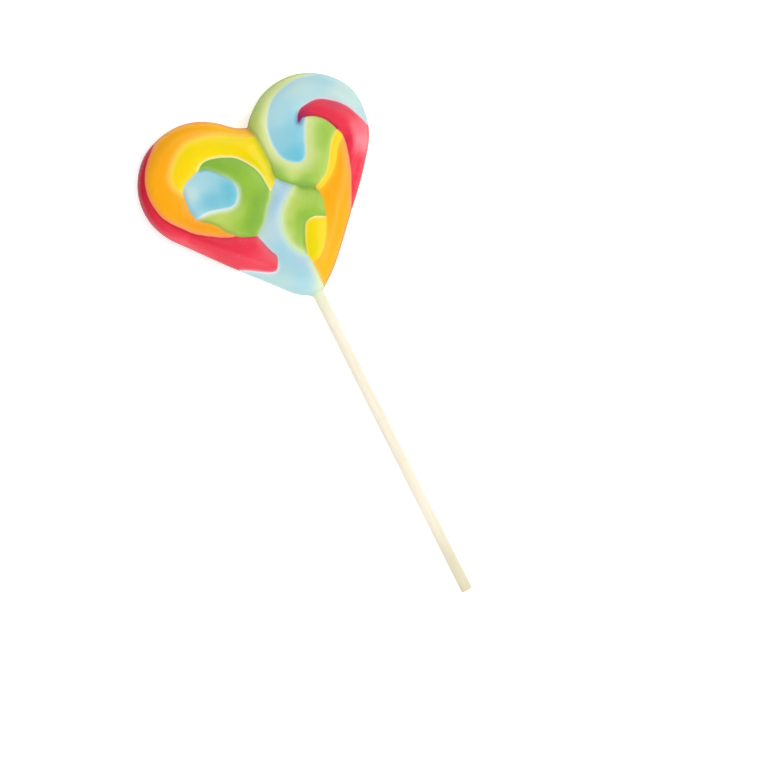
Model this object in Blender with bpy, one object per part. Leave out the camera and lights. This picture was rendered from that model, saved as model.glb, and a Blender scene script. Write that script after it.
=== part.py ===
# A heart-shaped swirl lollipop: strands of coloured boiled sugar pressed side by side, on a round
# wooden stick. It lies on its back. +Z is up and +Y runs along the stick to the top of the heart.
# The origin is on the underside of the candy, below the inner end of the stick.

import bpy
import numpy as np
from mathutils.geometry import delaunay_2d_cdt

MM = 0.001
TINY = 1e-12

# Driving dimensions, in millimetres.
STICK_DIAMETER = 4.0
STICK_SHOWN = 113.7
STICK_IN_CANDY = 30.0
STICK_CHAMFER = 0.3
STICK_SIDES = 24

FACE_HEIGHT = 10.5          # top face just inside the rounded rim
CROWN = 0.7                 # how much the middle of a lobe rises above that
CROWN_REACH = 20.0
RIM_HEIGHT = 5.2            # the candy is widest here
RIM_BAND = 1.4              # upright band round the rim
TOP_ROUNDING = 6.5
BOTTOM_ROUNDING = 4.0
STICK_HEIGHT = 5.6          # axis of the stick above the underside

GAP = 0.3                   # between neighbouring pieces
BLUNT_TIP = 0.35            # no tapering strand gets narrower than this
EDGE_STEP = 1.0             # spacing of points round a strand
FILL_STEP = 2.0             # spacing of points inside a strand
RIM_ROWS = 4                # rows of points over the rounded rim
FINE_STEP = 0.2             # spacing of points along a line before it is thinned out
RUN_ON = 1.5                # how far a line is run on to cross its neighbours
NEAR_END = 40               # points at a line's end where it may cross the next line
POINTED = 50.0              # degrees: a corner tighter than this is blunted
GROOVE_WIDTH = 1.5
SHALLOW_GROOVE = 0.35       # depth of a groove that GROOVES doesn't name
STRAND_SHOULDER = 3.0       # a strand reaches its own height this far from its edge
SUGAR_ROUGHNESS = 0.18
WOOD_ROUGHNESS = 0.6

# Where three strands meet, or two meet the outline. Plan positions are millimetres: x across the
# heart and y up from where the stick enters it.
CORNERS = {
    "cleft": (3.7, 60.3),
    "tip": (2.7, 0.1),
    "red_top": (-26.4, 70.1),
    "red_foot": (-21.4, 19.0),
    "blue_top": (34.6, 65.4),
    "blue_end": (40.7, 41.8),
    "orange_side": (22.5, 18.9),
    "orange_toe": (-15.3, 28.0),
    "orange_neck": (4.9, 55.9),
    "green_heel": (-9.6, 25.9),
    "patch_left_top": (-25.9, 49.8),
    "patch_top": (-18.0, 54.3),
    "patch_foot": (-25.9, 39.9),
    "yellow_tail": (0.6, 36.5),
    "loop_heel": (4.6, 40.8),
    "loop_toe": (15.0, 31.9),
    "leaf_top": (9.0, 35.9),
    "leaf_side": (15.7, 30.5),
    "leaf_corner": (14.4, 21.5),
    "leaf_tip": (2.9, 11.6),
    "wedge_tip": (3.1, 9.4),
    "hook_point": (19.5, 52.6),
    "hook_heel": (23.1, 54.5),
    "sliver_top": (30.6, 46.3),
    "sliver_side": (31.4, 43.4),
}

# Each line is a smooth curve through its corners and the few points that its shape needs.
LINES = {
    "left_outline": ["cleft", (0.0, 62.2), (-5.3, 66.8), (-11.8, 70.3), (-19.0, 71.4), "red_top",
                     (-32.4, 67.1), (-37.3, 61.7), (-40.2, 55.0), (-40.5, 47.0), (-37.8, 39.5),
                     (-31.6, 31.5), "red_foot", (-12.9, 9.3), (-7.0, 2.5), (-3.6, 0.3),
                     (-0.6, -0.5), "tip"],
    "right_outline": ["cleft", (6.2, 63.3), (14.1, 68.5), (24.5, 69.7), "blue_top", (41.6, 56.0),
                      "blue_end", (33.0, 30.4), "orange_side", (8.3, 4.2), "tip"],
    "red_inner": ["red_top", (-31.2, 66.0), (-36.1, 58.2), (-36.6, 48.5), (-34.9, 44.0),
                  (-27.3, 35.3), "orange_toe", "green_heel"],
    "red_nose": ["green_heel", (-7.6, 18.8), (-6.7, 16.4), (-9.3, 12.5), (-17.0, 16.3), "red_foot"],
    "orange_inner": ["orange_neck", (-9.5, 63.5), (-19.5, 63.8), (-26.9, 56.5), (-27.3, 52.6),
                     "patch_left_top"],
    "patch_west": ["patch_left_top", (-26.4, 43.2), "patch_foot"],
    "patch_north": ["patch_left_top", (-24.3, 52.0), "patch_top"],
    "patch_east": ["patch_top", (-14.9, 53.3), (-8.4, 44.6), (-10.5, 39.3), (-12.8, 38.4),
                   (-21.0, 40.1), "patch_foot"],
    "green_foot": ["patch_foot", (-20.6, 35.2), (-18.3, 31.4), "orange_toe"],
    "green_outer": ["patch_top", (-16.3, 55.7), (-13.5, 56.4), (-5.5, 53.4), (0.0, 46.0),
                    "yellow_tail", (-2.2, 33.3), (-5.3, 29.6), "green_heel"],
    "yellow_foot": ["yellow_tail", "loop_heel"],
    "lobe_crease": ["cleft", "orange_neck", (5.3, 46.0), "loop_heel", "leaf_top", (12.0, 33.3),
                    "loop_toe"],
    "loop_inner": ["blue_top", (25.5, 67.8), (15.8, 65.2), (9.6, 57.0), (9.0, 47.5), (10.7, 44.0),
                   (13.9, 41.6), (16.3, 42.0), (20.4, 50.0), "hook_heel"],
    "hook_outer": ["hook_point", (20.8, 56.0), (22.8, 57.9), (29.8, 58.0), (36.7, 52.6),
                   (40.0, 45.0), "blue_end"],
    "hook_inner": ["hook_point", (21.3, 54.4), "hook_heel", (26.3, 53.0), (29.0, 50.1),
                   "sliver_top", "sliver_side", (29.3, 33.6), "orange_side"],
    "sliver_left": ["sliver_top", (28.0, 44.5), (20.4, 34.5), "loop_toe"],
    "sliver_right": ["sliver_side", (29.1, 41.5), (24.0, 34.9), (18.0, 31.0), "leaf_side"],
    "loop_end": ["loop_toe", "leaf_side"],
    "leaf_right": ["leaf_side", (16.0, 28.0), "leaf_corner"],
    "wedge_left": ["leaf_corner", (10.9, 23.2), (8.2, 23.1), (6.0, 21.0), (3.3, 14.4), "leaf_tip"],
    "wedge_right": ["leaf_corner", (12.9, 18.2), (7.8, 11.2), (5.2, 9.5), "wedge_tip"],
    "stem_right": ["leaf_top", (1.8, 29.8), (-0.6, 25.8), (-0.5, 17.3), "leaf_tip", "wedge_tip",
                   "tip"],
}

# How deep the groove is along each line where two strands meet.
GROOVES = {
    "lobe_crease": 1.8,
    "green_outer": 0.9,
    "red_nose": 0.5,
    "yellow_foot": 0.8,
    "red_inner": 0.7,
    "patch_east": 0.7,
    "hook_inner": 0.6,
    "loop_end": 0.6,
    "hook_outer": 0.5,
    "patch_north": 0.5,
    "wedge_left": 0.5,
}

# Each strand: its colour, how far its middle stands above the face, and its sides in
# anticlockwise order, each a line read from one corner to another.
STRANDS = {
    "red_left": ("#E8304A", 0.5, [
        ("left_outline", "red_top", "red_foot"),
        ("red_nose", "red_foot", "green_heel"),
        ("red_inner", "green_heel", "red_top")]),
    "orange_left": ("#FCAE22", 0.4, [
        ("left_outline", "cleft", "red_top"),
        ("red_inner", "red_top", "orange_toe"),
        ("green_foot", "orange_toe", "patch_foot"),
        ("patch_west", "patch_foot", "patch_left_top"),
        ("orange_inner", "patch_left_top", "orange_neck"),
        ("lobe_crease", "orange_neck", "cleft")]),
    "yellow_left": ("#F8DC0A", 0.8, [
        ("orange_inner", "orange_neck", "patch_left_top"),
        ("patch_north", "patch_left_top", "patch_top"),
        ("green_outer", "patch_top", "yellow_tail"),
        ("yellow_foot", "yellow_tail", "loop_heel"),
        ("lobe_crease", "loop_heel", "orange_neck")]),
    "green_left": ("#93C444", 0.3, [
        ("patch_east", "patch_top", "patch_foot"),
        ("green_foot", "patch_foot", "orange_toe"),
        ("red_inner", "orange_toe", "green_heel"),
        ("green_outer", "green_heel", "patch_top")]),
    "blue_left": ("#86CDE2", -0.8, [
        ("patch_west", "patch_left_top", "patch_foot"),
        ("patch_east", "patch_foot", "patch_top"),
        ("patch_north", "patch_top", "patch_left_top")]),
    "green_right": ("#B4D860", 0.7, [
        ("lobe_crease", "cleft", "loop_toe"),
        ("sliver_left", "loop_toe", "sliver_top"),
        ("hook_inner", "sliver_top", "hook_heel"),
        ("loop_inner", "hook_heel", "blue_top"),
        ("right_outline", "blue_top", "cleft")]),
    "blue_right": ("#A8D8E4", 0.3, [
        ("loop_inner", "blue_top", "hook_heel"),
        ("hook_inner", "hook_heel", "hook_point"),
        ("hook_outer", "hook_point", "blue_end"),
        ("right_outline", "blue_end", "blue_top")]),
    "red_right": ("#F04C5C", 0.6, [
        ("hook_inner", "hook_point", "orange_side"),
        ("right_outline", "orange_side", "blue_end"),
        ("hook_outer", "blue_end", "hook_point")]),
    "yellow_right": ("#FAD838", 0.3, [
        ("sliver_left", "sliver_top", "loop_toe"),
        ("loop_end", "loop_toe", "leaf_side"),
        ("sliver_right", "leaf_side", "sliver_side"),
        ("hook_inner", "sliver_side", "sliver_top")]),
    "orange_right": ("#FDB428", 0.4, [
        ("sliver_right", "sliver_side", "leaf_side"),
        ("leaf_right", "leaf_side", "leaf_corner"),
        ("wedge_right", "leaf_corner", "wedge_tip"),
        ("stem_right", "wedge_tip", "tip"),
        ("right_outline", "tip", "orange_side"),
        ("hook_inner", "orange_side", "sliver_side")]),
    "green_leaf": ("#A6CE4E", 0.3, [
        ("stem_right", "leaf_top", "leaf_tip"),
        ("wedge_left", "leaf_tip", "leaf_corner"),
        ("leaf_right", "leaf_corner", "leaf_side"),
        ("loop_end", "leaf_side", "loop_toe"),
        ("lobe_crease", "loop_toe", "leaf_top")]),
    "yellow_leaf": ("#F4DC14", 0.2, [
        ("wedge_left", "leaf_corner", "leaf_tip"),
        ("stem_right", "leaf_tip", "wedge_tip"),
        ("wedge_right", "wedge_tip", "leaf_corner")]),
    "blue_stem": ("#B4DCE6", 0.2, [
        ("left_outline", "red_foot", "tip"),
        ("stem_right", "tip", "leaf_top"),
        ("lobe_crease", "leaf_top", "loop_heel"),
        ("yellow_foot", "loop_heel", "yellow_tail"),
        ("green_outer", "yellow_tail", "green_heel"),
        ("red_nose", "green_heel", "red_foot")]),
}
STICK_CHANNEL_STRANDS = ("blue_stem", "green_leaf")


def linear_colour(hex_colour):
    channels = [int(hex_colour[i:i + 2], 16) / 255 for i in (1, 3, 5)]
    linear = [c / 12.92 if c < 0.04045 else ((c + 0.055) / 1.055) ** 2.4 for c in channels]
    return (*linear, 1.0)


def material(name, hex_colour, roughness):
    made = bpy.data.materials.new(name)
    made.use_nodes = True
    shader = made.node_tree.nodes["Principled BSDF"]
    shader.inputs["Base Color"].default_value = linear_colour(hex_colour)
    shader.inputs["Roughness"].default_value = roughness
    shader.inputs["Metallic"].default_value = 0.0
    return made


def add_object(name, vertices, faces, hex_colour, roughness):
    """A smooth-shaded object from vertices in millimetres."""
    mesh = bpy.data.meshes.new(name)
    mesh.from_pydata((np.array(vertices) * MM).tolist(), [], faces)
    mesh.materials.append(material(name + "_surface", hex_colour, roughness))
    mesh.shade_smooth()
    mesh.set_sharp_from_angle(angle=np.radians(35))
    made = bpy.data.objects.new(name, mesh)
    bpy.context.scene.collection.objects.link(made)
    return made


# Lines in plan.

def plan_point(entry):
    return CORNERS[entry] if isinstance(entry, str) else entry


def smooth_line(name):
    """Points along a line, as a centripetal Catmull-Rom curve, and where its corners fall."""
    entries = LINES[name]
    knots = np.array([plan_point(entry) for entry in entries], float)
    knots = np.vstack((2 * knots[0] - knots[1], knots, 2 * knots[-1] - knots[-2]))
    points = [knots[1]]
    places = [0]
    for i in range(1, len(knots) - 2):
        p = knots[i - 1:i + 3]
        t = np.concatenate(([0], np.cumsum(np.linalg.norm(np.diff(p, axis=0), axis=1) ** 0.5)))
        count = max(2, round(np.linalg.norm(p[2] - p[1]) / FINE_STEP))
        u = np.linspace(t[1], t[2], count + 1)[1:, None]

        def blend(a, b, start, end):
            return ((end - u) * a + (u - start) * b) / (end - start)

        a = [blend(p[j], p[j + 1], t[j], t[j + 1]) for j in range(3)]
        b = [blend(a[j], a[j + 1], t[j], t[j + 2]) for j in range(2)]
        points.extend(blend(b[0], b[1], t[1], t[2]))
        places.append(len(points) - 1)
    corners = {entry: place for entry, place in zip(entries, places) if isinstance(entry, str)}
    return np.array(points), corners


def line_part(name, start, end):
    points, corners = LINE_POINTS[name]
    i, j = corners[start], corners[end]
    return points[i:j + 1] if i < j else points[j:i + 1][::-1]


def moved_left(line, distance):
    """The line moved sideways, and run on at both ends so that it crosses its neighbours."""
    tangents = np.gradient(line, axis=0)
    tangents /= np.linalg.norm(tangents, axis=1)[:, None]
    moved = line + distance * np.column_stack((-tangents[:, 1], tangents[:, 0]))
    steps = np.arange(FINE_STEP, RUN_ON, FINE_STEP)[:, None]
    return np.vstack((moved[0] - steps[::-1] * tangents[0], moved, moved[-1] + steps * tangents[-1]))


def crossing(first, second):
    """Where the last stretch of one line crosses the first stretch of the next: the number of the
    point before the crossing on each line, and the crossing itself."""
    found = None
    starts = second[:NEAR_END][:-1]
    spans = np.diff(second[:NEAR_END], axis=0)
    for i in range(len(first) - 2, max(len(first) - NEAR_END, 0) - 1, -1):
        step = first[i + 1] - first[i]
        away = starts - first[i]
        cross = step[0] * spans[:, 1] - step[1] * spans[:, 0]
        cross = np.where(abs(cross) < TINY, TINY, cross)
        on_first = (away[:, 0] * spans[:, 1] - away[:, 1] * spans[:, 0]) / cross
        on_second = (away[:, 0] * step[1] - away[:, 1] * step[0]) / cross
        hits = np.flatnonzero((on_first >= 0) & (on_first <= 1) & (on_second >= 0) & (on_second <= 1))
        if len(hits):
            found = (i, hits[-1], first[i] + on_first[hits[-1]] * step)
    return found


def joined_sides(sides):
    """Cut each side where it crosses the next, and blunt the corners that come to a point."""
    sides = list(sides)
    for i in range(len(sides)):
        j = (i + 1) % len(sides)
        last, first, corner = crossing(sides[i], sides[j])
        sides[i] = np.vstack((sides[i][:last + 1], corner))
        sides[j] = np.vstack((corner, sides[j][first + 1:]))
    for i in range(len(sides)):
        j = (i + 1) % len(sides)
        before = sides[i][-6] - sides[i][-1]
        after = sides[j][5] - sides[j][0]
        cosine = before @ after / np.linalg.norm(before) / np.linalg.norm(after)
        if cosine < np.cos(np.radians(POINTED)):
            continue
        shorter = min(len(sides[i]), len(sides[j]))
        widths = np.linalg.norm(sides[i][::-1][:shorter] - sides[j][:shorter], axis=1)
        back = np.argmax(widths >= BLUNT_TIP)
        sides[i] = sides[i][:len(sides[i]) - back]
        sides[j] = sides[j][back:]
    return sides


def evenly_spaced(line, step):
    lengths = np.concatenate(([0], np.cumsum(np.linalg.norm(np.diff(line, axis=0), axis=1))))
    count = max(1, round(lengths[-1] / step))
    places = np.linspace(0, lengths[-1], count + 1)
    return np.column_stack([np.interp(places, lengths, line[:, k]) for k in (0, 1)])


def strand_loop(sides):
    """The closed plan outline of a strand: half the gap inside its seams, and on the outline."""
    lines = []
    for name, start, end in sides:
        inset = 0.0 if name.endswith("outline") else GAP / 2
        lines.append(moved_left(line_part(name, start, end), inset))
    points = []
    for side in joined_sides(lines):
        even = evenly_spaced(side, EDGE_STEP)
        if points and np.linalg.norm(points[-1] - even[0]) < 0.01:
            even = even[1:]
        points.extend(even)
    if np.linalg.norm(points[-1] - points[0]) < 0.01:
        points.pop()
    return np.array(points)


def thinned(line):
    """Every third point of a line and its last."""
    return np.vstack((line[:-1:3], line[-1:]))


def distance_to(points, line):
    a = line[:-1]
    along = np.diff(line, axis=0)
    t = ((points[:, None] - a) * along).sum(2) / (along ** 2).sum(1)
    nearest = a + t.clip(0, 1)[..., None] * along
    return np.linalg.norm(points[:, None] - nearest, axis=2).min(1)


def inside(points, loop):
    """True for the points that a closed loop goes round."""
    a, b = loop, np.roll(loop, -1, axis=0)
    x, y = points[:, 0, None], points[:, 1, None]
    spans = (a[:, 1] > y) != (b[:, 1] > y)
    climb = np.where(b[:, 1] == a[:, 1], TINY, b[:, 1] - a[:, 1])
    left = x < a[:, 0] + (y - a[:, 1]) / climb * (b[:, 0] - a[:, 0])
    return (spans & left).sum(1) % 2 == 1


# Heights.

def rounding(distance, radius):
    """Quarter ellipse: 0 at the outline and 1 from one radius in."""
    u = (distance / radius).clip(0, 1)
    return np.sqrt(1 - (1 - u) ** 2)


def top_height(points, rise, sides):
    """The crowned face, with the strand's own rise and its grooves, rounded off to the rim."""
    rim = distance_to(points, OUTLINE)
    groove = np.zeros(len(points))
    nearest = np.full(len(points), np.inf)
    for name, start, end in sides:
        if name.endswith("outline"):
            continue
        away = distance_to(points, thinned(line_part(name, start, end)))
        depth = GROOVES.get(name, SHALLOW_GROOVE)
        groove = np.maximum(groove, depth * np.exp(-(away / GROOVE_WIDTH) ** 2))
        nearest = np.minimum(nearest, away)
    band_top = RIM_HEIGHT + RIM_BAND / 2
    face = FACE_HEIGHT + CROWN * (1 - (1 - (rim / CROWN_REACH).clip(0, 1)) ** 2)
    face += rise * (1 - np.exp(-(nearest / STRAND_SHOULDER) ** 2)) - groove
    return band_top + (face - band_top) * rounding(rim, TOP_ROUNDING)


def bottom_height(points):
    rim = distance_to(points, OUTLINE)
    height = (RIM_HEIGHT - RIM_BAND / 2) * (1 - rounding(rim, BOTTOM_ROUNDING))
    return np.where(rim > BOTTOM_ROUNDING, 0.0, height)


# Pieces.

def fill_points(loop):
    """Points inside a strand: rows over the rounded rim, then an even field of triangles."""
    angles = np.linspace(0, np.pi / 2, RIM_ROWS + 2)[1:]
    rows = []
    for depth in TOP_ROUNDING * (1 - np.cos(angles)):
        row = evenly_spaced(moved_left(OUTLINE, depth), FILL_STEP)
        rows.append(row[distance_to(row, OUTLINE) > depth - 0.05])
    low, high = loop.min(0), loop.max(0)
    row_step = FILL_STEP * np.sqrt(3) / 2
    for k in range(int((high[1] - low[1]) / row_step) + 2):
        xs = np.arange(low[0] + k % 2 * FILL_STEP / 2, high[0], FILL_STEP)
        row = np.column_stack((xs, np.full(len(xs), low[1] + k * row_step)))
        rows.append(row[distance_to(row, OUTLINE) > TOP_ROUNDING + FILL_STEP / 2])
    points = np.vstack(rows)
    points = points[inside(points, loop)]
    closed = np.vstack((loop, loop[:1]))
    clearance = np.minimum(0.2 + 0.3 * distance_to(points, OUTLINE), FILL_STEP / 2)
    return points[distance_to(points, closed) > clearance]


def strand(name, hex_colour, rise, sides):
    """A closed solid: its plan outline filled with triangles, above and below, and upright walls."""
    loop = strand_loop(sides)
    plan = np.vstack((loop, fill_points(loop)))
    count = len(plan)
    border = [(i, (i + 1) % len(loop)) for i in range(len(loop))]
    hull_triangles = np.array(delaunay_2d_cdt(plan.tolist(), border, [], 0, 1e-5, False)[2])
    triangles = hull_triangles[inside(plan[hull_triangles].mean(1), loop)]
    placed = plan - (0, STICK_IN_CANDY)
    top = np.column_stack((placed, top_height(plan, rise, sides)))
    bottom = np.column_stack((placed, bottom_height(plan)))
    faces = triangles.tolist() + (triangles[:, ::-1] + count).tolist()
    faces += [[j, i, i + count, j + count] for i, j in border]
    return add_object(name, np.vstack((top, bottom)), faces, hex_colour, SUGAR_ROUGHNESS)


def turned_piece(name, profile, hex_colour):
    """A solid turned about the stick's axis, from (radius, y) pairs, with closed ends."""
    turn = np.arange(STICK_SIDES) * 2 * np.pi / STICK_SIDES
    vertices = []
    for radius, y in profile:
        x, z = radius * np.cos(turn), STICK_HEIGHT + radius * np.sin(turn)
        vertices.extend(np.column_stack((x, np.full(STICK_SIDES, y), z)))
    first_ring = list(range(STICK_SIDES))
    last_ring = [STICK_SIDES * (len(profile) - 1) + i for i in first_ring]
    faces = [first_ring, last_ring[::-1]]
    for ring in range(len(profile) - 1):
        for i in first_ring:
            a, b = ring * STICK_SIDES + i, ring * STICK_SIDES + (i + 1) % STICK_SIDES
            faces.append([b, a, a + STICK_SIDES, b + STICK_SIDES])
    return add_object(name, vertices, faces, hex_colour, WOOD_ROUGHNESS)


def stick():
    radius = STICK_DIAMETER / 2
    low = -STICK_IN_CANDY - STICK_SHOWN
    profile = [(radius - STICK_CHAMFER, low), (radius, low + STICK_CHAMFER),
               (radius, -STICK_CHAMFER), (radius - STICK_CHAMFER, 0.0)]
    return turned_piece("stick", profile, "#F0EBC8")


def stick_channel():
    """The hole that the stick sits in, as a cutter."""
    radius = STICK_DIAMETER / 2 + GAP
    below_candy = -STICK_IN_CANDY - STICK_DIAMETER
    cutter = turned_piece("stick_channel", [(radius, below_candy), (radius, GAP)], "#FFFFFF")
    cutter.hide_render = True
    cutter.display_type = "WIRE"
    return cutter


for old in list(bpy.data.objects):
    bpy.data.objects.remove(old)

LINE_POINTS = {name: smooth_line(name) for name in LINES}
# Anticlockwise: down the left side from the cleft and back up the right.
OUTLINE = thinned(np.vstack((LINE_POINTS["left_outline"][0],
                             LINE_POINTS["right_outline"][0][::-1][1:])))

channel = stick_channel()
stick()
for strand_name, (strand_colour, strand_rise, strand_sides) in STRANDS.items():
    made_strand = strand("strand_" + strand_name, strand_colour, strand_rise, strand_sides)
    if strand_name in STICK_CHANNEL_STRANDS:
        cut = made_strand.modifiers.new("stick_channel", "BOOLEAN")
        cut.operation = "DIFFERENCE"
        cut.object = channel
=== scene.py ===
from functools import partial

import bpy
import numpy as np
from mathutils import Matrix, Vector


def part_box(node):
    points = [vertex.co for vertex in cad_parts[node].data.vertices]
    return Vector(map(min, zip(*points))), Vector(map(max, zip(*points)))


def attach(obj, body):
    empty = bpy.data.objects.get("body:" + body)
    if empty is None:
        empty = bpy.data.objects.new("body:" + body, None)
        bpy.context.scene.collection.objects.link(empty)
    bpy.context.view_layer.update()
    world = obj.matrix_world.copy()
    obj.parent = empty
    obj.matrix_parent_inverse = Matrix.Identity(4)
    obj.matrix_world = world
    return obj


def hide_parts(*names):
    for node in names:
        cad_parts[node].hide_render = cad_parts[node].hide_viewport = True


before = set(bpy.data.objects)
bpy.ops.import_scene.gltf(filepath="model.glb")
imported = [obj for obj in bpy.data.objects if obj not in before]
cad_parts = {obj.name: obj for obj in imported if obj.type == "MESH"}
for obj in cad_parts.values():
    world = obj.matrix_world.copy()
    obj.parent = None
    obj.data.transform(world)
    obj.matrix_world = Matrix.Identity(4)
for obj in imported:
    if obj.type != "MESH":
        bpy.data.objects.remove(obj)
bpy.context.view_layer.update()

# A heart-shaped swirl lollipop of boiled sugar on a round birch stick, lying face up.
# Lengths in the dictionaries are millimetres; the frame and Blender are in metres.

mm = 0.001
stickBox = np.array(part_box("stick")) / mm        # its low and its high corner
stickAxis = stickBox.mean(0)
stickRadius = (stickBox[1, 0] - stickBox[0, 0]) / 2
random = np.random.default_rng(7)


# An sRGB hex colour as linear RGBA.
def linear(hexColour):
    channels = np.array([int(hexColour[i:i + 2], 16) / 255 for i in (1, 3, 5)])
    low, high = channels / 12.92, ((channels + 0.055) / 1.055) ** 2.4
    return (*np.where(channels <= 0.04045, low, high).tolist(), 1.0)


# A new material or world, switched to nodes and emptied.
def emptied(owner):
    owner.use_nodes = True
    owner.node_tree.nodes.clear()
    return owner


# Adds a node. Inputs go by name or number and are values or sockets to link, settings are the
# node's own properties, and what comes back is the output of that name or number.
def addNode(owner, kind, inputs, output=0, **settings):
    node = owner.node_tree.nodes.new("ShaderNode" + kind)
    for name, value in settings.items():
        setattr(node, name, value)
    for key, value in inputs.items():
        if isinstance(value, bpy.types.NodeSocket):
            owner.node_tree.links.new(value, node.inputs[key])
        else:
            node.inputs[key].default_value = value
    return node.outputs[output] if node.outputs else None


# A smooth mesh in place, from vertices in millimetres; attributes are numbers or colours.
def addPiece(name, vertices, faces, material, attributes=None):
    mesh = bpy.data.meshes.new(name)
    mesh.from_pydata((vertices * mm).tolist(), [], faces)
    for key, values in (attributes or {}).items():
        kind, field = ("FLOAT", "value") if values.ndim == 1 else ("FLOAT_COLOR", "color")
        layer = mesh.attributes.new(key, kind, "POINT")
        layer.data.foreach_set(field, np.ascontiguousarray(values, np.float32).ravel())
    mesh.materials.append(material)
    mesh.shade_smooth()
    piece = bpy.data.objects.new(name, mesh)
    bpy.context.scene.collection.objects.link(piece)
    return piece


# Faces of a closed surface of rings that lie one after another, between a first and a last vertex.
def ringFaces(columns, rows):
    ring = np.arange(columns)
    following = (ring + 1) % columns
    starts = 1 + columns * np.arange(rows - 1)[:, None]
    quads = np.stack((starts + ring, starts + columns + ring,
                      starts + columns + following, starts + following), -1).reshape(-1, 4)
    last = 1 + columns * (rows - 1)
    firstCap = np.column_stack((np.zeros(columns, int), 1 + ring, 1 + following))
    lastCap = np.column_stack((last + following, last + ring, np.full(columns, last + columns)))
    return quads.tolist() + firstCap.tolist() + lastCap.tolist()


# The candy. Its strands' outlines come from the frame, and its heights and colours from here.

families = ["blue", "green", "yellow", "orange", "red"]      # from the middle of a swirl outward

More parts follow.
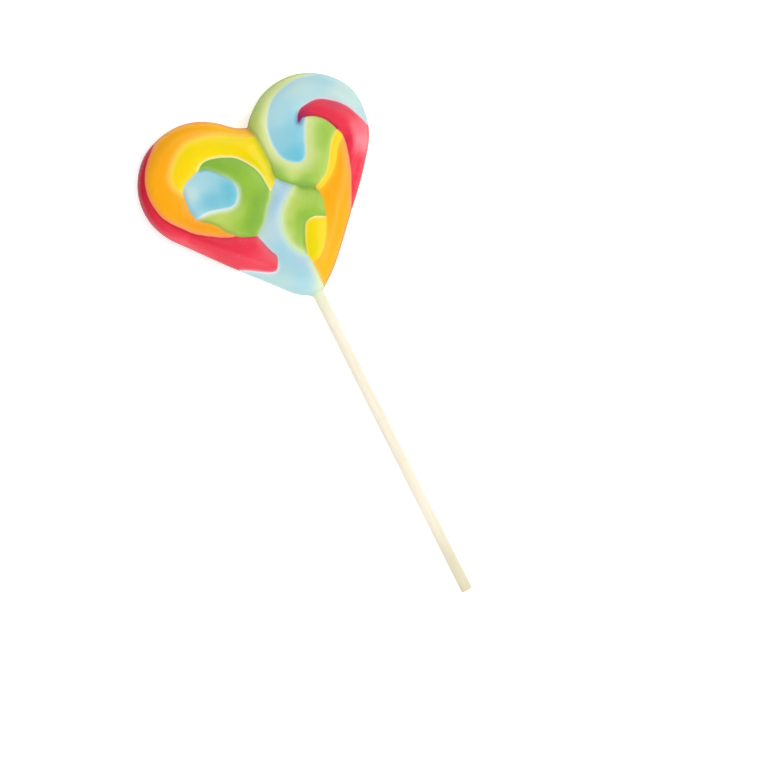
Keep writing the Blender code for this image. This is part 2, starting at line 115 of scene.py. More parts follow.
candy = {
    "rimHeight": 5.2,            # the candy is widest here
    "faceHeight": 10.5,          # of the face beside the rim's rounding
    "crown": 0.75,               # what the face gains over the next stretch inward
    "crownReach": 20.0,
    "topRounding": 6.5,
    "bottomRounding": 4.0,
    "gap": 0.3,                  # between the frame's strands, closed in the finished candy
    "closing": 5.0,              # a notch in the outline that a disc of this radius can't enter is filled
    "cleftClosing": 0.4,         # the same near the cleft, which stays sharp
    "cleft": (4.0, 31.0),        # its inner corner
    "cleftReach": (7.0, 11.0),   # the sharp outline passes into the smooth one between these distances
    "outlineRange": (21.0, 60.0),    # the outline lies between these distances from the centre
    "centre": (0.0, 8.0),        # the plan point that the rings of the mesh go round
    "columns": 480,
    "rimRows": 26,
    "faceRows": 96,
    "undersideRows": 52,
    "rasterStep": 0.25,
    "rasterMargin": 3.0,
    "shoulder": 3.0,             # a strand reaches its own height this far from its edge
    "roundedEdge": 0.7,          # the distance from a strand's edge is evened out over this much
    "swelling": 2.2,             # the swell is evened out over this much, so that it has no ridge
    "shallowGroove": 0.35,       # depth of a groove that isn't in the list of deeper ones
    "grooveWidth": 1.5,
    "grooveShape": 1.3,          # 2 is a trough with shoulders, 1 a notch between full curves
    "crease": 1.5,               # a groove deeper than this is a crease, which is wider
    "creaseWidth": 2.0,
    "softening": 0.35,           # how far fused sugar has rounded every edge of the relief
    "waves": 0.06,               # slow unevenness of a hand-pressed face
    "waveLength": 3.2,
    "skin": 0.010,               # fine unevenness
    "skinLength": 0.6,
    "wander": 0.10,              # how far borders stray, because soft sugar was pressed together
    "wanderLength": 2.2,
    "wanderSkin": 0.3,           # share of finer straying on top, at the skin's own length
    "toneBlur": 0.5,             # over this much the tone is evened out, and so are the next three
    "hollowBlur": 1.6,
    "borderBlur": 0.2,
    "flowBlur": 0.8,
    "spotReach": 2.0,            # a spot's tone holds this far round it
    "collar": 1.1,               # sugar drawn out along the stick, thinning outward over its reach
    "collarReach": 0.9,
    "collarStart": -26.0,        # only below this place along the stick

    # How far each strand's middle stands above the face.
    "rises": {
        "red_left": 0.5, "orange_left": 0.4, "yellow_left": 0.5, "green_left": 0.3,
        "blue_left": -0.8, "green_right": 0.7, "blue_right": 0.3, "red_right": 0.6,
        "yellow_right": 0.3, "orange_right": 0.3, "green_leaf": 0.3, "yellow_leaf": 0.2,
        "blue_stem": 0.2,
    },

    # Depth of the groove between two strands, where it is more than the shallow one.
    "grooves": {
        ("orange_left", "green_right"): 1.8,
        ("yellow_left", "green_right"): 1.8,
        ("blue_stem", "green_right"): 1.8,
        ("green_leaf", "green_right"): 1.8,
        ("yellow_left", "green_left"): 0.55,
        ("blue_stem", "green_left"): 0.9,
        ("blue_stem", "red_left"): 0.5,
        ("yellow_left", "blue_stem"): 0.8,
        ("orange_left", "red_left"): 0.7,
        ("green_left", "red_left"): 0.7,
        ("green_left", "blue_left"): 0.7,
        ("blue_right", "red_right"): 0.55,
        ("green_right", "red_right"): 0.6,
        ("orange_right", "red_right"): 0.6,
        ("yellow_right", "green_leaf"): 0.6,
        ("yellow_left", "blue_left"): 0.5,
        ("yellow_leaf", "green_leaf"): 0.5,
    },

    # Tone of the sugar at a few places of each strand: 0 is deep, 0.5 its plain colour, 1 pale. It is partly
    # the sugar's own depth of colour and partly painted shade and painted highlight.
    "tonesAndPaintedLight": {
        # red_left: the deep spots along its left rim are painted shade, the pale ones near its lower-left
        # rim a painted highlight.
        "red_left": [((-41, 20), 0.2), ((-38, 13), 0.35), ((-36.5, 10), 0.5), ((-35, 7), 0.6),
                     ((-33, 4), 0.65), ((-31, 1.5), 0.65), ((-28, -1), 0.6), ((-33, 9), 0.35),
                     ((-29, 4), 0.35), ((-25, 1), 0.3), ((-22, -2), 0.4), ((-9, -12), 0.6),
                     ((-12, -18), 0.35), ((-36, 30), 0.0)],
        "orange_left": [((-14, 37), 0.6), ((-33, 22), 0.5), ((-26, 30), 0.45), ((-24, 6), 0.25),
                        ((-17, 0), 0.1), ((-2, 31), 1.0)],
        "yellow_left": [((-25, 26), 0.7), ((-15, 30), 0.45), ((-6, 24), 0.25), ((2, 18), 0.0),
                        ((1, 27), 0.4)],
        "green_left": [((-13, 25), 0.2), ((-5, 21), 0.3), ((-5, 12), 0.5), ((-18, 8), 0.85),
                       ((-12, 7), 0.75), ((-3, 5), 0.2), ((-7, 0), 0.15)],
        # blue_left: its paler top is partly the sugar's own depth of colour and partly a painted reflection.
        "blue_left": [((-24, 19), 1.0), ((-18, 20), 0.5), ((-14, 22), 0.4), ((-24, 12), 0.35),
                      ((-19, 14), 0.1), ((-11, 13), 0.0)],
        # green_right: paler beside the blue and deeper towards the crease, partly as painted shade of a
        # rounded strand.
        "green_right": [((5, 34), 0.8), ((12, 37), 0.6), ((14, 41), 0.5), ((28, 39), 0.7), ((6, 22), 1.0),
                        ((11, 9), 0.95), ((22, 20), 0.75), ((26, 24), 0.85), ((20, 12), 0.8),
                        ((27, 18), 0.45), ((24, 13), 0.5), ((18, 6), 0.65), ((6, 10), 0.35),
                        ((12, 4), 0.15)],
        "blue_right": [((27, 36), 0.8), ((34, 33), 0.6), ((38, 27), 1.0), ((14, 29), 0.6),
                       ((11, 20), 0.35), ((11, 15), 0.15), ((15, 14), 0.0), ((18, 22), 0.2)],
        # red_right: the pale spots at (37.5, 13) and (36, 9) are a painted highlight on its right rim.
        "red_right": [((21, 27), 0.1), ((27, 27), 0.4), ((31, 21), 0.4), ((34, 19), 0.5),
                      ((37.5, 13), 0.8), ((36, 9), 1.0), ((32, 11), 0.2), ((31, 4), 0.45),
                      ((27, -2), 0.5)],
        "yellow_right": [((28, 12), 0.7), ((18, 2), 0.6)],
        "orange_right": [((28, 8), 0.35), ((24, 0), 0.5), ((15, -12), 0.6), ((8, -22), 0.8)],
        "green_leaf": [((4, 2), 0.9), ((8, 3), 0.8), ((11, -1), 0.65), ((7, -6), 0.3),
                       ((3, -3), 0.9), ((1, -8), 0.9), ((5, -9), 0.3), ((3, -14), 0.5)],
        "yellow_leaf": [((10, -10), 0.25), ((5, -17), 0.0)],
        "blue_stem": [((3, 8), 0.55), ((3, 3), 0.4), ((-5, -4), 0.85), ((-2, -12), 0.45), ((-10, -22), 0.8),
                      ((0, -22), 0.45), ((-3, -27), 0.6)],
    },

    # Where two strands touch, the skin of one takes another colour, which fades over its reach; the dark
    # ones marked below are painted shade along creases and seams. The columns: the strand it is on, the
    # strand it faces, colour, reach, and share, or its shares at spots.
    "sheaths": [
        ("orange_left", "red_left", "#FF9468", 0.8, 0.95),
        ("orange_left", "yellow_left", "#FFD560", 1.1, 0.70),
        ("orange_left", "green_left", "#DDB04A", 0.9, 0.40),
        ("yellow_left", "orange_left", "#FFDC50", 0.9, 0.60),
        ("yellow_left", "green_left", "#FAF6C4", 0.6,
         [((-16, 26), 0.75), ((-6, 24), 0.8), ((0, 16), 0.7), ((1, 8), 0.6)]),
        ("yellow_left", "blue_left", "#E4DC78", 0.6, 0.40),
        # painted shade in the crease between the lobes, here and in the next line
        ("yellow_left", "green_right", "#C6CE1C", 1.2, 0.80),
        ("orange_left", "green_right", "#DDB040", 1.3, 0.80),
        ("green_left", "blue_left", "#E4F3DC", 1.0,
         [((-22, 11), 1.0), ((-12, 13), 0.9), ((-8, 18), 0.3), ((-9, 24), 0.0), ((-16, 27), 0.0)]),
        ("green_left", "orange_left", "#A89E48", 1.1, 0.60),
        ("green_left", "blue_stem", "#DCE88A", 0.6, [((0, 6), 0.9), ((-3, 2), 0.6), ((-7, -2), 0.3)]),
        ("blue_left", "green_left", "#F4FBFA", 0.4,
         [((-22, 11), 1.0), ((-12, 13), 0.8), ((-8, 18), 0.3), ((-9, 24), 0.0), ((-16, 27), 0.0)]),
        # painted shadow on the blue under the green's edge
        ("blue_left", "green_left", "#5E9C94", 0.5,
         [((-16, 24), 0.6), ((-10, 18), 0.5), ((-8, 14), 0.0), ((-12, 9), 0.0), ((-24, 10), 0.0)]),
        ("blue_left", "orange_left", "#8FB4BE", 1.3, 0.60),
        # painted shade along the crease under the orange's edge, here and in the next
        ("red_left", "orange_left", "#E21F34", 1.6, 0.45),
        ("red_left", "orange_left", "#8E1420", 0.45,
         [((-41, 25), 0.5), ((-36, 15), 0.6), ((-33, 10), 0.6), ((-28, 3.5), 0.45), ((-19, -2), 0.0),
          ((-10, -8), 0.0)]),
        ("red_left", "blue_stem", "#F58A9A", 0.5, [((-15, -16), 0.8), ((-8, -17), 0.4), ((-7, -13), 0.0)]),
        # painted shade where the red nose rises over the blue
        ("red_left", "blue_stem", "#AC6878", 1.4, [((-15, -16), 0.0), ((-8, -17), 0.1), ((-7, -12), 0.6)]),
        ("blue_stem", "green_leaf", "#B8BFE6", 6.0,
         [((2.7, 3.4), 0.45), ((-2.7, -3.4), 0.35), ((-4.4, -6), 0.3), ((-1, -12), 0.0),
          ((0.3, -22), 0.45), ((-10, -20), 0.0), ((-3, -27), 0.0), ((4, -28), 0.0)]),
        ("blue_stem", "red_left", "#FAEAF0", 0.65,
         [((-13, -21), 1.0), ((-8, -19), 0.9), ((-6, -14), 0.1), ((-7, -9), 0.4)]),
        ("blue_stem", "green_left", "#C8E2C0", 1.3, 0.70),
        ("blue_stem", "green_leaf", "#CBE3C8", 1.5, 0.70),
        ("blue_stem", "yellow_left", "#C4DCC4", 1.5, 0.60),
        ("blue_stem", "orange_right", "#D6E3B8", 1.7, [((0, -27), 1.0), ((-1, -14), 0.7)]),
        ("blue_stem", "orange_right", "#E2EBC8", 4.0, [((0, -31), 1.0), ((-4, -26), 0.1), ((2, -22), 0.0)]),
        ("green_leaf", "blue_stem", "#DDEDB4", 1.6, 0.85),
        # painted shade in the crease by the yellow wedge
        ("green_leaf", "yellow_leaf", "#8E9C34", 0.8, [((9, -6), 0.0), ((5, -11), 0.6), ((4, -16), 0.5)]),
        ("yellow_leaf", "green_leaf", "#FFF4B8", 0.6, [((13, -7), 0.95), ((7, -8), 0.3), ((4, -14), 0.1)]),
        ("yellow_leaf", "orange_right", "#FFD238", 1.0, 0.60),
        ("orange_right", "yellow_leaf", "#FFC434", 0.9, 0.60),
        ("orange_right", "yellow_right", "#FFC62E", 1.1, 0.60),
        ("orange_right", "red_right", "#FFA070", 1.2, 0.65),
        ("orange_right", "green_leaf", "#E9B83C", 0.9, 0.50),
        ("orange_right", "blue_stem", "#E6D06A", 0.9, 0.60),
        ("yellow_right", "green_right", "#F4EA84", 0.7, 0.60),
        ("yellow_right", "orange_right", "#FFD23C", 1.0, 0.50),
        # painted shade in the crease between the lobes, here and in the next line
        ("green_right", "yellow_left", "#A9B850", 1.1, 0.60),
        ("green_right", "orange_left", "#AEB45A", 1.1, 0.60),
        ("green_right", "yellow_right", "#D2DC68", 0.9, 0.50),
        ("green_right", "blue_right", "#E4EBAE", 3.4, [((6, 24), 0.85), ((12, 11), 0.7)]),
        ("green_right", "blue_right", "#E2F2E8", 0.5, [((6, 24), 0.6), ((12, 12), 0.3), ((22, 40), 0.3)]),
        ("green_right", "red_right", "#D6BE62", 0.7, 0.50),
        ("blue_right", "green_right", "#D4EEEC", 0.4, 0.50),
        ("blue_right", "red_right", "#EFDDE6", 0.7,
         [((18, 26), 0.0), ((24, 29), 0.7), ((34, 25), 0.8), ((40, 14), 0.5)]),
        # painted shadow round the red hook's tip
        ("blue_right", "red_right", "#4A5088", 0.9,
         [((18, 22), 1.0), ((19, 26), 0.5), ((23, 29), 0.0), ((30, 29), 0.0), ((40, 14), 0.0)]),
        ("red_right", "blue_right", "#F47A8A", 0.6, [((20, 27), 0.0), ((27, 29), 0.5), ((40, 14), 0.5)]),
        # painted shade on the red towards its outer rim
        ("red_right", "blue_right", "#C43E5A", 2.6,
         [((34, 25), 0.6), ((38, 19), 0.2), ((25, 27), 0.0), ((40, 10), 0.0)]),
        ("red_right", "green_right", "#8E2034", 0.7, 0.75),
        # painted shadow round the red hook's tip, here and in the next
        ("red_right", "blue_right", "#761F6E", 2.0,
         [((19, 24), 1.0), ((21, 25.5), 0.7), ((23, 26.5), 0.1), ((30, 26), 0.0), ((40, 14), 0.0)]),
        ("red_right", "blue_right", "#30345E", 2.0,
         [((19, 22.5), 1.0), ((20.5, 24.5), 0.4), ((22, 26), 0.0), ((30, 26), 0.0), ((40, 14), 0.0)]),
    ],
}


# A strand's outline seen from above, as loose segments in millimetres: of the faces that look up
# and lie above the stick's axis, the edges that only one of them has.
def strandPlan(node):
    mesh = node.data
    mesh.calc_loop_triangles()
    corners = np.empty(len(mesh.loop_triangles) * 3, np.int32)
    mesh.loop_triangles.foreach_get("vertices", corners)
    points = np.empty(len(mesh.vertices) * 3)
    mesh.vertices.foreach_get("co", points)
    triangles = points.reshape(-1, 3)[corners.reshape(-1, 3)] / mm
    normals = np.cross(triangles[:, 1] - triangles[:, 0], triangles[:, 2] - triangles[:, 0])
    steepest, clearance = 0.02, 0.1
    upward = normals[:, 2] > steepest * np.linalg.norm(normals, axis=1)
    above = triangles[:, :, 2].min(1) > stickAxis[2] + clearance
    plan = np.round(triangles[upward & above][:, :, :2], 3)
    edges = np.concatenate([plan[:, [0, 1]], plan[:, [1, 2]], plan[:, [2, 0]]])
    level = edges[:, 0, 0] == edges[:, 1, 0]
    flipped = (edges[:, 0, 0] > edges[:, 1, 0]) | (level & (edges[:, 0, 1] > edges[:, 1, 1]))
    edges[flipped] = edges[flipped][:, ::-1]
    unique, counts = np.unique(edges.reshape(-1, 4), axis=0, return_counts=True)
    return unique[counts == 1].reshape(-1, 2, 2)


# Distance from each plan point to the nearest of the segments, in chunks to spare memory.
def distanceTo(points, segments, chunk=4000):
    starts, along = segments[:, 0], segments[:, 1] - segments[:, 0]
    squared = (along ** 2).sum(1)
    found = []
    for first in range(0, len(points), chunk):
        away = points[first:first + chunk, None] - starts
        share = ((away * along).sum(2) / squared).clip(0, 1)
        found.append(np.sqrt(((away - share[..., None] * along) ** 2).sum(2).min(1)))
    return np.concatenate(found)


# True for plan points from which a ray to the left crosses an odd number of segments.
def insidePlan(points, segments, chunk=4000):
    start, end = segments[:, 0], segments[:, 1]
    climb = np.where(start[:, 1] == end[:, 1], 1.0, end[:, 1] - start[:, 1])
    found = []
    for first in range(0, len(points), chunk):
        x, y = points[first:first + chunk, 0, None], points[first:first + chunk, 1, None]
        spans = (start[:, 1] > y) != (end[:, 1] > y)
        crossing = start[:, 0] + (y - start[:, 1]) / climb * (end[:, 0] - start[:, 0])
        found.append((spans & (x > crossing)).sum(1) % 2 == 1)
    return np.concatenate(found)


# Distance to a strand's plan from outside, and 0 inside it.
def outsideDistance(points, segments):
    return np.where(insidePlan(points, segments), 0.0, distanceTo(points, segments))


# A line through the points and back to the first, as segments.
def closedPolyline(points):
    return np.stack((points, np.roll(points, -1, axis=0)), 1)


# Plan points round the candy's centre, from polar coordinates.
def ringAt(angles, radii):
    return np.column_stack((np.cos(angles), np.sin(angles))) * radii[:, None] + candy["centre"]


# The radius at which a test changes from true to false, for each angle.
def bisect(test, low, high, steps=16):
    for _ in range(steps):
        middle = (low + high) / 2
        inner = test(middle)
        low, high = np.where(inner, middle, low), np.where(inner, high, middle)
    return (low + high) / 2


# The heart's outline as a radius for each angle: all strands are grown by the closing distance,
# which closes the gaps and notches between them, and the grown outline is moved back in by it.
def closedOutline(plans, angles, closing):
    def grown(radii):
        points = ringAt(angles, radii)
        return np.min([outsideDistance(points, plan) for plan in plans], axis=0) < closing

    least, most = (np.full(len(angles), reach) for reach in candy["outlineRange"])
    outer = bisect(grown, least, most)
    grownOutline = closedPolyline(ringAt(angles, outer))

    def within(radii):
        return distanceTo(ringAt(angles, radii), grownOutline) > closing

    return bisect(within, outer - 2 * closing, outer)


# The outline smoothed all round, but for the cleft between the lobes.
def candyOutline(plans, angles):
    wide = closedOutline(plans, angles, candy["closing"])
    sharp = closedOutline(plans, angles, candy["cleftClosing"])
    reach, spread = 6, 2.5       # columns
    kernel = np.exp(-(np.arange(-reach, reach + 1) / spread) ** 2)
    wrapped = np.concatenate((wide[-reach:], wide, wide[:reach]))
    smooth = np.convolve(wrapped, kernel / kernel.sum(), "valid")
    away = np.hypot(*(ringAt(angles, smooth) - candy["cleft"]).T)
    near, far = candy["cleftReach"]
    share = ((away - near) / (far - near)).clip(0, 1)
    return sharp + (smooth - sharp) * share ** 2 * (3 - 2 * share)


# A raster field blurred by a Gaussian of that radius, through its spectrum.
def blurred(field, radius, step):
    edge = 40                    # cells added all round, so that nothing wraps to the other side
    padded = np.pad(field, edge, mode="edge")
    down = np.fft.fftfreq(padded.shape[0], step)[:, None]
    across = np.fft.rfftfreq(padded.shape[1], step)[None]
    spectrum = np.fft.rfft2(padded) * np.exp(-2 * (np.pi * radius) ** 2 * (down ** 2 + across ** 2))
    return np.fft.irfft2(spectrum, padded.shape)[edge:-edge, edge:-edge]


# Smooth seeded noise with a spread of one.
def uneven(shape, radius, step):
    noise = blurred(random.standard_normal(shape), radius, step)
    return noise / noise.std()


# Bilinear reading of a raster field at plan points, which stop just short of its last cell.
def sampled(field, points, corner, step):
    place = (points - corner) / step
    short = 1.001
    x = place[:, 0].clip(0, field.shape[1] - short)
    y = place[:, 1].clip(0, field.shape[0] - short)
    i, j = y.astype(int), x.astype(int)
    u, v = y - i, x - j
    if field.ndim == 3:
        u, v = u[:, None], v[:, None]
    near = field[i, j] * (1 - v) + field[i, j + 1] * v
    far = field[i + 1, j] * (1 - v) + field[i + 1, j + 1] * v
    return near * (1 - u) + far * u


# A value that is close to each given one at its spot: their mean, weighted by 1 / (d^2 + r^2)^1.5.
def spotted(points, spots):
    places = np.array([place for place, _ in spots], float)
    squared = ((points[:, None] - places) ** 2).sum(2)
    weights = (squared + candy["spotReach"] ** 2) ** -1.5
    return (weights * [value for _, value in spots]).sum(1) / weights.sum(1)


# Quarter ellipse: 0 at the outline and 1 from one radius in.
def rounding(distance, radius):
    return np.sqrt(1 - (1 - (distance / radius).clip(0, 1)) ** 2)


# A raster over the face, with how far each of its points lies outside each strand.
def faceRaster(plans):
    step = candy["rasterStep"] * 1
    ends = np.concatenate(list(plans.values())).reshape(-1, 2)
    low, high = ends.min(0) - candy["rasterMargin"], ends.max(0) + candy["rasterMargin"]
    x, y = np.meshgrid(np.arange(low[0], high[0], step), np.arange(low[1], high[1], step))
    points = np.column_stack((x.ravel(), y.ravel()))
    away = np.array([outsideDistance(points, plan) for plan in plans.values()])
    return {"names": list(plans), "points": points, "away": away,
            "shape": x.shape, "corner": low, "step": step}


# Relief of the face. A strand swells to its rise over its shoulder s, as 1 - exp(-(d/s)^2) of the
# distance d from its edge, and along each neighbour runs a groove of width w, as exp(-(d/w)^1.3).
def faceRelief(raster):
    names, away, shape, step = (raster[key] for key in ("names", "away", "shape", "step"))
    owner, second = np.argsort(away, axis=0)[:2]
    place = np.arange(away.shape[1])
    border = (away - candy["gap"] / 2).clip(0)
    depths = np.full((len(names), len(names)), candy["shallowGroove"])
    for pair, depth in candy["grooves"].items():
        i, j = (names.index(name) for name in pair)
        depths[i, j] = depths[j, i] = depth
    widths = np.where(depths > candy["crease"], candy["creaseWidth"], candy["grooveWidth"])
    groove = np.exp(-(border / widths[owner].T) ** candy["grooveShape"]) * depths[owner].T
    groove[owner, place] = 0
    edge = blurred(border[second, place].reshape(shape), candy["roundedEdge"], step)
    rise = np.array([candy["rises"][name] for name in names])[owner].reshape(shape)
    swell = blurred(rise * (1 - np.exp(-(edge / candy["shoulder"]) ** 2)), candy["swelling"], step)
    relief = blurred(swell - groove.max(0).reshape(shape), candy["softening"], step)
    relief += candy["waves"] * uneven(shape, candy["waveLength"], step)
    relief += candy["skin"] * uneven(shape, candy["skinLength"], step)
    return relief


# Tone of the sugar over the face, painted shade and highlight included, from the spots of the strand that
# each point belongs to.
def faceTone(raster):
    owner = raster["away"].argmin(0)
    tone = np.zeros(len(owner))
    for k, name in enumerate(raster["names"]):
        tone[owner == k] = spotted(raster["points"][owner == k], candy["tonesAndPaintedLight"][name])
    return blurred(tone.reshape(raster["shape"]), candy["toneBlur"], raster["step"])


# The sheaths on one colour's strands, painted seam shade included: their own colour, and in alpha how much
# of it shows.
def sheathAndShadeLayer(raster, members):
    names, points, away = raster["names"], raster["points"], raster["away"]
    nearest = members[away[members].argmin(0)]
    layer = np.zeros((len(points), 4))
    for on, facing, colour, reach, share in candy["sheaths"]:
        here = nearest == names.index(on)
        depth = (away[names.index(facing)][here] - candy["gap"] / 2).clip(0)
        full = spotted(points[here], share) if isinstance(share, list) else share
        shares = (np.exp(-(depth / reach) ** 2) * full)[:, None]
        layer[here] = layer[here] * (1 - shares) + np.array(linear(colour)) * shares
    layer[:, :3] /= layer[:, 3:].clip(1e-6)
    return layer.reshape(*raster["shape"], 4)


# What varies over the face: relief, looks that the mesh carries as attributes, and how far
# everything strays sideways.
def candyFields(raster):
    away, shape, step = raster["away"], raster["shape"], raster["step"]
    kinds = np.array([families.index(name.split("_")[0]) for name in raster["names"]])
    relief = faceRelief(raster)
    looks = {"tone": faceTone(raster), "hollow": blurred(relief, candy["hollowBlur"], step) - relief}
    for k, family in enumerate(families):
        looks["sheath" + family.title()] = sheathAndShadeLayer(raster, np.flatnonzero(kinds == k))
        # How far a point lies inside this colour; less than 0 outside it.
        depth = away[kinds != k].min(0) - away[kinds == k].min(0)
        looks[family] = blurred(depth.reshape(shape), candy["borderBlur"], step)
    # Lines of equal flow run along the strands, as the sugar was pulled.
    splits = range(1, len(families))
    flow = np.mean([away[kinds < k].min(0) - away[kinds >= k].min(0) for k in splits], axis=0)
    looks["flow"] = blurred(flow.reshape(shape), candy["flowBlur"], step)
    stray = [uneven(shape, candy["wanderLength"], step)
             + candy["wanderSkin"] * uneven(shape, candy["skinLength"], step) for _ in "xy"]
    return relief, looks, candy["wander"] * np.stack(stray, -1)


# Rings from the outline to near the centre: close together over the rounding, where the surface
# turns by equal angles from one to the next, and then in equal shares of what is left.
def ringsInward(radii, depth, rimRows, rows):
    turn = np.linspace(0, np.pi / 2, rimRows)
    rings = [radii - depth * (1 - np.cos(angle)) for angle in turn]
    return rings + [(radii - depth) * (1 - share) for share in np.linspace(0, 1, rows + 1)[1:-1]]


# One closed surface over the strands' joint outline: the face stands on a quarter ellipse that
# rises from the rim, and the underside falls from the rim by another one to the floor. With its
# vertices and faces comes how far each vertex lies inside the outline, in plan.
def candySurface(angles, radii, reliefAt):
    outline = closedPolyline(ringAt(angles, radii))
    topRings = ringsInward(radii, candy["topRounding"], candy["rimRows"], candy["faceRows"])[::-1]
    lowRings = ringsInward(radii, candy["bottomRounding"], candy["rimRows"], candy["undersideRows"])[1:]
    topPlan = np.vstack([candy["centre"]] + [ringAt(angles, ring) for ring in topRings])
    lowPlan = np.vstack([ringAt(angles, ring) for ring in lowRings] + [candy["centre"]])
    topRim, lowRim = distanceTo(topPlan, outline), distanceTo(lowPlan, outline)
    topRim[-len(angles):] = 0

    rimHeight = candy["rimHeight"]
    crown = candy["crown"] * (1 - (1 - (topRim / candy["crownReach"]).clip(0, 1)) ** 2)
    face = candy["faceHeight"] + crown + reliefAt(topPlan)
    top = rimHeight + (face - rimHeight) * rounding(topRim, candy["topRounding"])
    low = rimHeight * (1 - rounding(lowRim, candy["bottomRounding"]))
    vertices = np.vstack((np.column_stack((topPlan, top)), np.column_stack((lowPlan, low))))
    faces = ringFaces(len(angles), len(topRings) + len(lowRings))
    return vertices, faces, np.concatenate((topRim, lowRim))


# The collar: sugar drawn out along the stick, as exp(-(d/r)^1.5) of the distance d from its skin.
def drawCollar(vertices):
    fromAxis = np.hypot(vertices[:, 0] - stickAxis[0], vertices[:, 2] - stickAxis[2])
    drawn = candy["collar"] * np.exp(-((fromAxis - stickRadius).clip(0) / candy["collarReach"]) ** 1.5)
    vertices[:, 1] -= np.where(vertices[:, 1] < candy["collarStart"], drawn, 0)


def buildCandy(material):
    plans = {name: strandPlan(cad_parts["strand_" + name]) for name in candy["rises"]}
    angles = np.linspace(0, 2 * np.pi, candy["columns"] // (1), endpoint=False)
    radii = candyOutline(list(plans.values()), angles)
    print("candy outline", radii.min().round(2), radii.max().round(2))
    raster = faceRaster(plans)
    relief, looks, stray = candyFields(raster)
    print("candy fields", relief.shape)

    def read(field, points):
        return sampled(field, points, raster["corner"], raster["step"])

    def reliefAt(points):
        return read(relief, points + read(stray, points))

    vertices, faces, fromRim = candySurface(angles, radii, reliefAt)
    drawCollar(vertices)
    places = vertices[:, :2] + read(stray, vertices[:, :2])
    attributes = {key: read(field, places) for key, field in looks.items()}
    attributes["rim"] = fromRim
    piece = addPiece("candy", vertices, faces, material, attributes)
    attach(piece, "root")
    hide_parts(*["strand_" + name for name in plans])
    print("candy", len(vertices), "vertices", len(faces), "faces")


sugar = {
    "blue": ("#6CC1D6", "#A6D4DF", "#C6DFDA"),       # deep, plain and pale
    "green": ("#74A834", "#97C244", "#CCDC72"),
    "yellow": ("#EAD800", "#F8D800", "#FCD20E"),
    "orange": ("#EE9724", "#FBAD0E", "#FCBB16"),
    "red": ("#BC1434", "#EC3850", "#FF939E"),
    "border": 0.3,               # over this distance one colour passes into the next
    "streaksPerMm": 0.9,
    "streakTone": 0.12,
    "cloud": 9.0,                # length of slow changes of tone
    "cloudTone": 0.25,
    "cloudSway": 1.6,            # how far the streaks sway with it
    "hollow": (0.05, 0.6),       # painted shade darkens the colour where the skin dips this much below its surroundings
    "creaseShadeShare": 0.28,
    "rim": 1.2,                  # and painted shade darkens it towards the rim, within this distance
    "rimShadeShare": 0.72,
    "blueRimShade": 0.35,             # share of that painted rim shade in blue sugar
    "shadeDeepening": 0.68,           # where painted shade falls, the colour is multiplied by itself and by this
    "bubbleCell": 1.1,           # one air bubble to a cell of this size
    "bubble": (0.16, 0.06),      # its radius as a share of the cell, outside and inside
    "bubbleShare": 0.07,
    "grain": 0.35,
    "roughness": (0.23, 0.35),
    "specular": 0.15,
    "coat": 0.22,
    "coatRoughness": 0.24,
    "bump": 0.12,
    "bumpDepth": 0.1,
    "bumpGrain": 0.2,            # share of the grain in it; the rest are streaks
    "scatter": 1.2,              # how far light spreads inside
    "scatterShare": 0.25,
}


# Tone of the sugar, from 0 (deep) to 1 (pale), with the painted shade and highlight that it holds, and the
# streaks in it. They are noise across the flow, the same all along it, that sways with a slow cloud.
def sugarTone(add, place):
    cloud = add("TexNoise", {"Vector": place, "Scale": 1 / (sugar["cloud"] * mm), "Detail": 2.0}, "Fac")
    flow = add("Attribute", {}, "Fac", attribute_name="flow")
    sway = sugar["cloudSway"]
    across = add("Math", {0: cloud, 1: sway, 2: -sway / 2}, operation="MULTIPLY_ADD")
    across = add("Math", {0: across, 1: flow}, operation="ADD")
    streaks = add("TexNoise", {"W": across, "Scale": sugar["streaksPerMm"], "Detail": 3.0, "Roughness": 0.7},
                  "Fac", noise_dimensions="1D")
    tone = add("Attribute", {}, "Fac", attribute_name="tone")
    for pattern, reach in ((streaks, sugar["streakTone"]), (cloud, sugar["cloudTone"])):
        swing = add("Math", {0: pattern, 1: reach, 2: -reach / 2}, operation="MULTIPLY_ADD")
        tone = add("Math", {0: tone, 1: swing}, operation="ADD")
    return add("Clamp", {"Value": tone}), streaks


# The sugar's colour and the share of blue. Every colour counts by its share at the place, and the
# shares are made to add up to one.
def sugarColour(add, tone):
    colour, total, blue = None, None, None
    for name in families:
        ramp = add("ValToRGB", {"Fac": tone})
        stops = ramp.node.color_ramp.elements
        stops.new(0.5)
        for stop, hexColour in zip(stops, sugar[name]):
            stop.color = linear(hexColour)
        # The sheath colours include painted seam shade.
        sheath = add("Attribute", {}, "Color", attribute_name="sheath" + name.title())
        skin = add("Mix", {0: sheath.node.outputs["Alpha"], 6: ramp, 7: sheath}, 2, data_type="RGBA")
        depth = add("Attribute", {}, "Fac", attribute_name=name)
        share = add("MapRange", {"Value": depth, "From Min": -sugar["border"], "From Max": sugar["border"]},
                    interpolation_type="SMOOTHSTEP")
        part = add("VectorMath", {0: skin, "Scale": share}, operation="SCALE")
        colour = add("VectorMath", {0: colour, 1: part}, operation="ADD") if colour else part
        total = add("Math", {0: total, 1: share}, operation="ADD") if total else share
        blue = share if name == "blue" else blue
    total = add("Math", {0: total, 1: 0.01}, operation="MAXIMUM")    # nothing is divided by zero
    part = add("Math", {0: 1.0, 1: total}, operation="DIVIDE")
    return add("VectorMath", {0: colour, "Scale": part}, operation="SCALE"), blue


